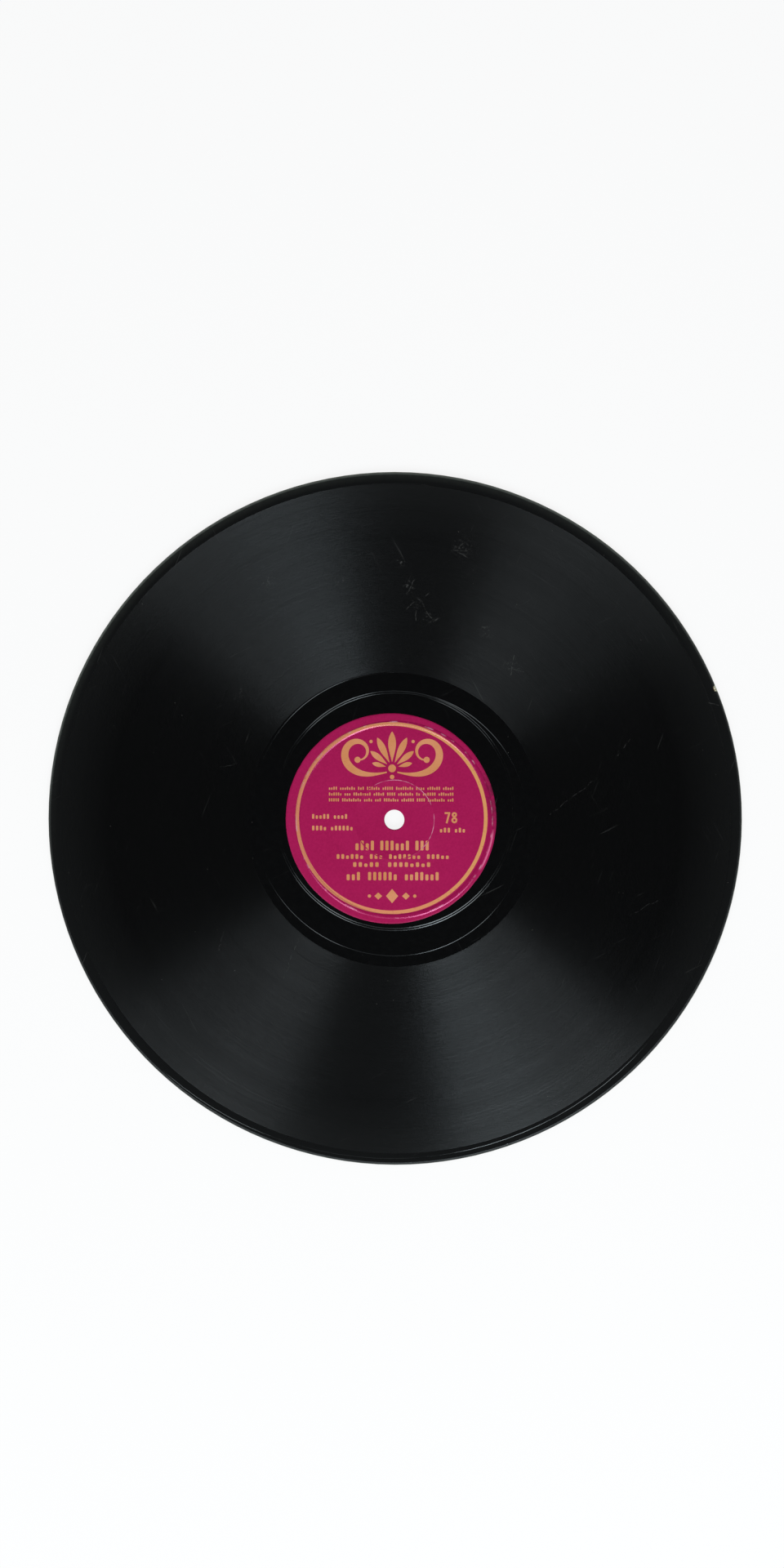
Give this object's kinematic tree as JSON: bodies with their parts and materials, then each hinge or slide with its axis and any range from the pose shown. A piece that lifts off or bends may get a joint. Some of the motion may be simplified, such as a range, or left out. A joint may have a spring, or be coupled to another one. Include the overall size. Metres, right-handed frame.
{
  "type": "phonograph record",
  "caption": "Ten inch laminated shellac disc for 78 turns a minute, with spiral groove, pressed-in paper labels and a spindle hole.",
  "frame": {"origin": "on the spindle axis, in the plane that side B rests on", "axes": "+Z out of side A along the spindle axis, +Y towards the top of the labels, +X to the right of side A"},
  "size_m": [0.2508, 0.2508, 0.0022],
  "materials": {
    "shellac": "glossy black shellac compound, grooved",
    "core": "coarse dull black-brown filled shellac",
    "kraft_paper": "uncoated kraft paper",
    "label_paper": "magenta label paper, pressed smooth"
  },
  "bodies": {
    "root": {"core": "core", "paper_a": "kraft_paper", "paper_b": "kraft_paper", "facing_a": "shellac", "facing_b": "shellac", "label_a": "label_paper", "label_b": "label_paper"}
  },
  "joints": []
}
